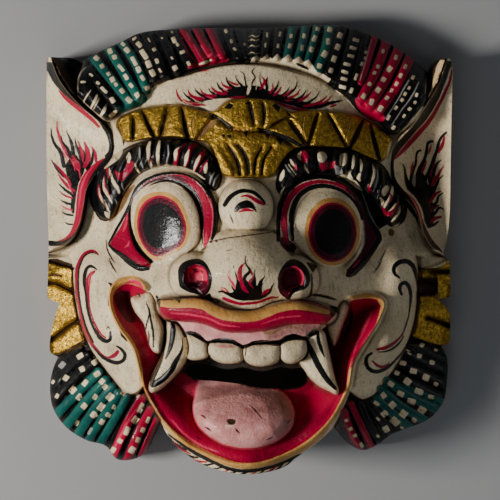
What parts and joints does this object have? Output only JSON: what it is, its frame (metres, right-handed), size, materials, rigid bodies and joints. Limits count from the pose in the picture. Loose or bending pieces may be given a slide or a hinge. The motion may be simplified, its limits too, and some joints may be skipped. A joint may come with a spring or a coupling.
{
  "type": "barong mask",
  "caption": "Carved and painted wooden demon mask with bulging eyes, open fanged mouth, maned crest and pointed ears, hollow behind for a wearer's face.",
  "frame": {"origin": "centre of the bounding box at the flat back", "axes": "+Z out of the face, +Y towards the crest of the head, +X to the viewer's right"},
  "size_m": [0.2044, 0.2218, 0.0949],
  "materials": {
    "painted_wood": "carved wood, hand painted ivory, black, red, green and gold, with satin varnish and grime in the cuts"
  },
  "bodies": {
    "root": {"mask": "painted_wood"}
  },
  "joints": []
}
